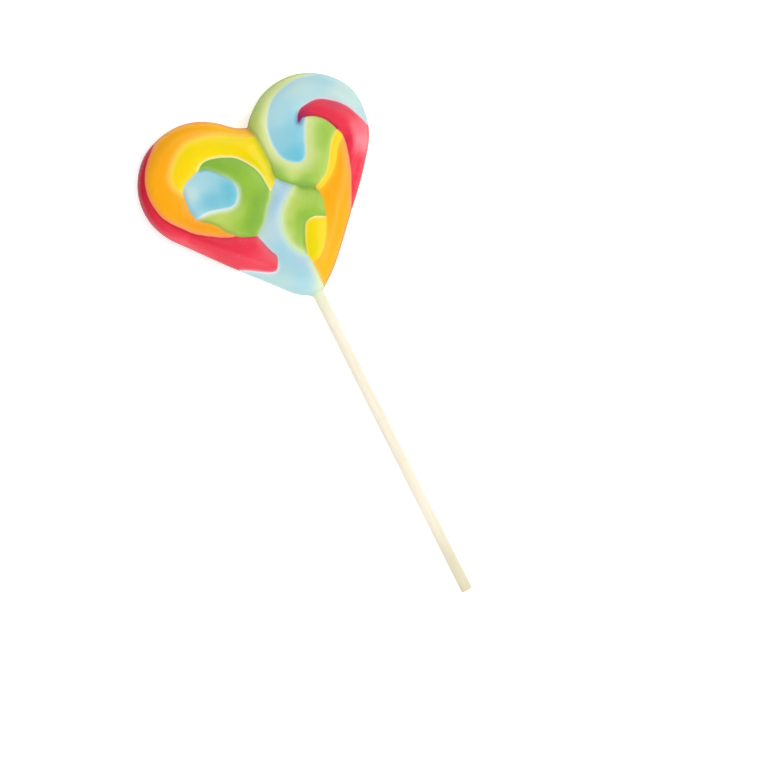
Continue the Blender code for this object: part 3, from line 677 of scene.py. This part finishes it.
# Share of painted shade: in creases, where the skin dips, and towards the rim.
def paintedShadeShare(add, blue):
    dip = add("Attribute", {}, "Fac", attribute_name="hollow")
    low, high = sugar["hollow"]
    deep = add("MapRange", {"Value": dip, "From Min": low, "From Max": high,
                            "To Max": sugar["creaseShadeShare"]}, interpolation_type="SMOOTHSTEP")
    # Painted shade towards the rim, less of it in blue.
    rim = add("Attribute", {}, "Fac", attribute_name="rim")
    brink = add("MapRange", {"Value": rim, "From Min": sugar["rim"], "From Max": 0.0,
                             "To Max": sugar["rimShadeShare"]}, interpolation_type="SMOOTHSTEP")
    clear = add("MapRange", {"Value": blue, "To Min": 1.0, "To Max": sugar["blueRimShade"]})
    brink = add("Math", {0: brink, 1: clear}, operation="MULTIPLY")
    return add("Math", {0: deep, 1: brink}, operation="MAXIMUM")


# Boiled sugar, pulled while warm until it is white with fine air, then coloured and pressed: to the
# eye a thin clear skin over satin colour, with pale sheaths where strands touch and faint streaks
# along the pull. Sugar's own gloss is dulled by the air, so less of it shows than its IOR gives.
# Its colour also carries painted shade in creases, towards the rim and along some seams, and painted
# highlights in some tones.
def pulledSugar():
    material = emptied(bpy.data.materials.new("pulledBoiledSugar"))
    add = partial(addNode, material)
    place = add("TexCoord", {}, "Object")
    tone, streaks = sugarTone(add, place)
    colour, blue = sugarColour(add, tone)
    # Painted shade: the colour is darkened in creases and towards the rim.
    deep = paintedShadeShare(add, blue)
    shaded = add("VectorMath", {0: colour, "Scale": sugar["shadeDeepening"]}, operation="SCALE")
    colour = add("Mix", {0: deep, 6: colour, 7: shaded}, 2, data_type="RGBA", blend_type="MULTIPLY")

    # Air bubbles as pale specks.
    bubbles = add("TexVoronoi", {"Vector": place, "Scale": 1 / (sugar["bubbleCell"] * mm)}, "Distance")
    outside, inside = sugar["bubble"]
    speck = add("MapRange", {"Value": bubbles, "From Min": outside, "From Max": inside,
                             "To Max": sugar["bubbleShare"]}, interpolation_type="SMOOTHSTEP")
    colour = add("Mix", {0: speck, 6: colour, 7: linear("#FFFFFF")}, 2, data_type="RGBA")

    grain = add("TexNoise", {"Vector": place, "Scale": 1 / (sugar["grain"] * mm), "Detail": 3.0}, "Fac")
    low, high = sugar["roughness"]
    rough = add("MapRange", {"Value": grain, "To Min": low, "To Max": high})
    height = add("Mix", {0: sugar["bumpGrain"], 2: streaks, 3: grain})
    bump = add("Bump", {"Strength": sugar["bump"], "Distance": sugar["bumpDepth"] * mm, "Height": height})
    shader = add("BsdfPrincipled", {
        "Base Color": colour, "Roughness": rough, "IOR": 1.5, "Specular IOR Level": sugar["specular"],
        "Subsurface Weight": sugar["scatterShare"], "Subsurface Radius": (1.0, 0.7, 0.5),
        "Subsurface Scale": sugar["scatter"] * mm, "Normal": bump,
        "Coat Weight": sugar["coat"], "Coat Roughness": sugar["coatRoughness"]},
        subsurface_method="RANDOM_WALK")
    add("OutputMaterial", {"Surface": shader})
    return material


# The stick.

dowel = {
    "columns": 64,
    "rows": 230,
    "capRows": 6,
    "chamfer": 0.35,
    "chamferRows": 4,
    "plainFrom": 1.05,           # evenly spaced rows begin this far from the ends
    "unevenness": 0.025,         # depth of the ripples
    "ripples": [(3, 0.5, 0.4), (7, 0.3, 2.1), (13, 0.2, 4.0)],      # waves round it, share and phase
    "drift": (0.9, 31.0),        # how far the ripples turn to and fro, and over what length
    "colour": "#F5EEDB",
    "shadeColour": "#E0D7B8",
    "shadeShare": 0.35,
    "shadeRange": (0.35, 0.7),   # of the noise, over which it comes in
    "shadeWidth": 2.4,           # broad bands of the growth rings
    "shadeLength": 25.0,
    "fibreColour": "#D3C49C",
    "fibreShare": 0.5,
    "fibreRange": (0.54, 0.72),
    "fibreWidth": 0.28,
    "fibreLength": 8.0,
    "fibreDepth": 0.05,
    "endColour": "#C9A878",
    "endShare": 0.7,
    "endRange": (0.5, 0.9),      # of how much a face looks along the stick
    "bump": 0.35,
    "roughness": 0.62,
    "tintsAndShade": [
        # colour, share, and from where to where along the stick it thins out
        ("#DDE6C0", 0.6, -30.0, -42.0),      # a film of sugar
        ("#C8BF94", 0.40, -136.0, -112.0),   # painted shade over the free end
        ("#CDC69C", 0.35, -143.7, -139.0),   # and more so at its very edge
    ],
}


# A profile turned about the stick's axis: the radius is a function of the distance along it,
# rounded at both ends, less a fine ripple round it for the grain.
def buildStick(material):
    (low, high), (axisX, _, axisZ) = stickBox[:, 1], stickAxis
    chamfer, plainFrom = dowel["chamfer"], dowel["plainFrom"]
    flat = np.linspace(0, 1, dowel["capRows"] + 1)[1:] * (stickRadius - chamfer)
    bend = np.linspace(0, np.pi / 2, dowel["chamferRows"] + 1)[1:]
    fromEnd = np.concatenate((np.zeros(len(flat)), chamfer * (1 - np.cos(bend))))
    endRadii = np.concatenate((flat, stickRadius - chamfer * (1 - np.sin(bend))))
    middle = np.linspace(low + plainFrom, high - plainFrom, dowel["rows"])
    lengths = np.concatenate((low + fromEnd, middle, high - fromEnd[::-1]))
    radii = np.concatenate((endRadii, np.full(dowel["rows"], stickRadius), endRadii[::-1]))

    turns, along = np.meshgrid(np.linspace(0, -2 * np.pi, dowel["columns"], endpoint=False), lengths)
    sway, length = dowel["drift"]
    ripple = sum(share * np.sin(waves * turns + phase + sway * np.sin(along / length + phase))
                 for waves, share, phase in dowel["ripples"])
    spread = radii[:, None] * (1 - dowel["unevenness"] / stickRadius * (1 + ripple) / 2)
    surface = np.stack((axisX + spread * np.cos(turns), along, axisZ + spread * np.sin(turns)), -1)
    vertices = np.vstack(([axisX, low, axisZ], surface.reshape(-1, 3), [axisX, high, axisZ]))
    piece = addPiece("dowel", vertices, ringFaces(dowel["columns"], len(lengths)), material)
    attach(piece, "root")
    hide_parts("stick")
    print("stick", len(vertices), "vertices")


# Birch dowel, turned and sanded: pale and dry, with fine fibres along it, and ends that took up
# moisture between the cut fibres and look browner.
def turnedBirch():
    material = emptied(bpy.data.materials.new("turnedBirch"))
    add = partial(addNode, material)
    place = add("TexCoord", {}, "Object")
    patterns = {}
    for kind, detail in (("shade", 2.0), ("fibre", 4.0)):
        width, length = dowel[kind + "Width"] * mm, dowel[kind + "Length"] * mm
        stretched = add("Mapping", {"Vector": place, "Scale": (1 / width, 1 / length, 1 / width)})
        patterns[kind] = add("TexNoise", {"Vector": stretched, "Scale": 1.0, "Detail": detail,
                                          "Roughness": 0.65}, "Fac")
    colour = linear(dowel["colour"])
    for kind, pattern in patterns.items():
        low, high = dowel[kind + "Range"]
        share = add("MapRange", {"Value": pattern, "From Min": low, "From Max": high,
                                 "To Max": dowel[kind + "Share"]})
        colour = add("Mix", {0: share, 6: colour, 7: linear(dowel[kind + "Colour"])}, 2, data_type="RGBA")

    along = add("SeparateXYZ", {"Vector": place}, "Y")
    for hexColour, share, full, gone in dowel["tintsAndShade"]:
        tint = add("MapRange", {"Value": along, "From Min": gone * mm, "From Max": full * mm,
                                "To Max": share}, interpolation_type="SMOOTHSTEP")
        colour = add("Mix", {0: tint, 6: colour, 7: linear(hexColour)}, 2, data_type="RGBA")

    # Only the ends face along the stick.
    normal = add("NewGeometry", {}, "Normal")
    facing = add("Math", {0: add("SeparateXYZ", {"Vector": normal}, "Y")}, operation="ABSOLUTE")
    low, high = dowel["endRange"]
    end = add("MapRange", {"Value": facing, "From Min": low, "From Max": high, "To Max": dowel["endShare"]})
    colour = add("Mix", {0: end, 6: colour, 7: linear(dowel["endColour"])}, 2, data_type="RGBA")
    bump = add("Bump", {"Strength": dowel["bump"], "Distance": dowel["fibreDepth"] * mm,
                        "Height": patterns["fibre"]})
    shader = add("BsdfPrincipled", {"Base Color": colour, "Roughness": dowel["roughness"], "IOR": 1.45,
                                    "Normal": bump})
    add("OutputMaterial", {"Surface": shader})
    return material


# The stage: a white floor in a light tent, softboxes round it and a camera straight above.

stage = {
    "pictureRight": (0.8938, -0.4484),      # across the picture, in plan
    "pictureCentre": (6.21, -68.34),        # the plan point at the middle of the picture
    "pictureWidth": 261.1,                  # at the height of the candy's rim
    "cameraHeight": 2000.0,
    "cameraReach": 20000.0,                 # it sees this far
    "floorSide": 8000.0,
    "floorGlow": 0.25,                      # onto what lies on it
    "floorSeen": 0.38,                      # its glow to the camera, which sees only a faint shadow
    # Grey of the tent at heights given as the sine of the elevation: dimmer walls, a bright roof
    # and, at the top, the hole that the camera looks through.
    "tent": [(0.50, 0.48), (0.70, 0.86), (0.88, 0.86), (0.96, 0.15)],
    "darkSide": 0.5,                        # share of that grey to the left of the picture
    "darkRange": (-0.7, 0.1),               # it fades out between these; -1 is left and 1 is right
    "lightColour": "#FFFEFC",
    "lightReach": 750.0,                    # from the candy to each softbox
    "softboxes": [
        # name, turn from the picture's right (degrees), elevation, diameter, watts
        ("key", 20, 57, 700.0, 2.30),
        ("fillLow", 265, 44, 600.0, 1.50),
        ("fillHigh", 100, 50, 600.0, 0.75),
        ("low", 250, 10, 500.0, 0.90),
    ],
}


# A round softbox that faces the candy.
def addSoftbox(name, turn, rise, size, power):
    turn, rise = np.radians((turn, rise))
    right = np.array(stage["pictureRight"])
    up = np.array((-right[1], right[0]))
    plan = (right * np.cos(turn) + up * np.sin(turn)) * np.cos(rise)
    towards = Vector((*plan, np.sin(rise)))
    light = bpy.data.lights.new(name, "AREA")
    light.shape = "DISK"
    light.size = size * mm
    light.energy = power
    light.color = linear(stage["lightColour"])[:3]
    softbox = bpy.data.objects.new(name, light)
    bpy.context.scene.collection.objects.link(softbox)
    softbox.location = towards * stage["lightReach"] * mm
    softbox.rotation_euler = towards.to_track_quat("Z", "Y").to_euler()


# A tent of white cloth round everything: white to the camera, and grey by height and side to what
# it lights.
def lightTent():
    world = emptied(bpy.data.worlds.new("lightTent"))
    add = partial(addNode, world)
    direction = add("TexCoord", {}, "Generated")
    tent = add("ValToRGB", {"Fac": add("SeparateXYZ", {"Vector": direction}, "Z")})
    stops = tent.node.color_ramp.elements
    for place, grey in stage["tent"][2:]:
        stops.new(place)
    for stop, (place, grey) in zip(stops, stage["tent"]):
        stop.position = place
        stop.color = (grey, grey, grey, 1.0)
    right = add("VectorMath", {0: direction, 1: (*stage["pictureRight"], 0)}, "Value",
                operation="DOT_PRODUCT")
    low, high = stage["darkRange"]
    dim = add("MapRange", {"Value": right, "From Min": low, "From Max": high, "To Min": stage["darkSide"]},
              interpolation_type="SMOOTHSTEP")
    tent = add("VectorMath", {0: tent, "Scale": dim}, operation="SCALE")
    seen = add("LightPath", {}, "Is Camera Ray")
    colour = add("Mix", {0: seen, 6: tent, 7: linear("#FFFFFF")}, 2, data_type="RGBA")
    add("OutputWorld", {"Surface": add("Background", {"Color": colour})})
    return world


# Opal acrylic, a cast sheet with a matt face, faintly lit from below: to the eye an even white.
def opalAcrylic():
    material = emptied(bpy.data.materials.new("opalAcrylic"))
    add = partial(addNode, material)
    seen = add("LightPath", {}, "Is Camera Ray")
    glow = add("MapRange", {"Value": seen, "To Min": stage["floorGlow"], "To Max": stage["floorSeen"]})
    shader = add("BsdfPrincipled", {
        "Base Color": linear("#FFFFFF"), "Roughness": 0.9, "Specular IOR Level": 0.1,
        "Emission Color": linear("#FFFFFF"), "Emission Strength": glow})
    add("OutputMaterial", {"Surface": shader})
    return material


# A camera straight above, turned as the picture is.
def addCamera():
    camera = bpy.data.objects.new("camera", bpy.data.cameras.new("camera"))
    bpy.context.scene.collection.objects.link(camera)
    distance = stage["cameraHeight"] - candy["rimHeight"]
    camera.data.angle = 2 * np.arctan(stage["pictureWidth"] / 2 / distance)
    camera.data.clip_end = stage["cameraReach"] * mm
    rightX, rightY = stage["pictureRight"]
    middleX, middleY = np.array(stage["pictureCentre"]) * mm
    camera.matrix_world = Matrix(((rightX, -rightY, 0, middleX), (rightY, rightX, 0, middleY),
                                  (0, 0, 1, stage["cameraHeight"] * mm), (0, 0, 0, 1)))
    bpy.context.scene.camera = camera


def buildStage():
    bpy.context.scene.view_settings.view_transform = "Standard"
    bpy.context.scene.world = lightTent()
    for softbox in stage["softboxes"]:
        addSoftbox(*softbox)
    half = stage["floorSide"] / 2
    corners = np.array([[-half, -half, 0], [half, -half, 0], [half, half, 0], [-half, half, 0]])
    addPiece("floor", corners, [[0, 1, 2, 3]], opalAcrylic())
    addCamera()
    print("stage")


buildStage()
buildCandy(pulledSugar())
buildStick(turnedBirch())
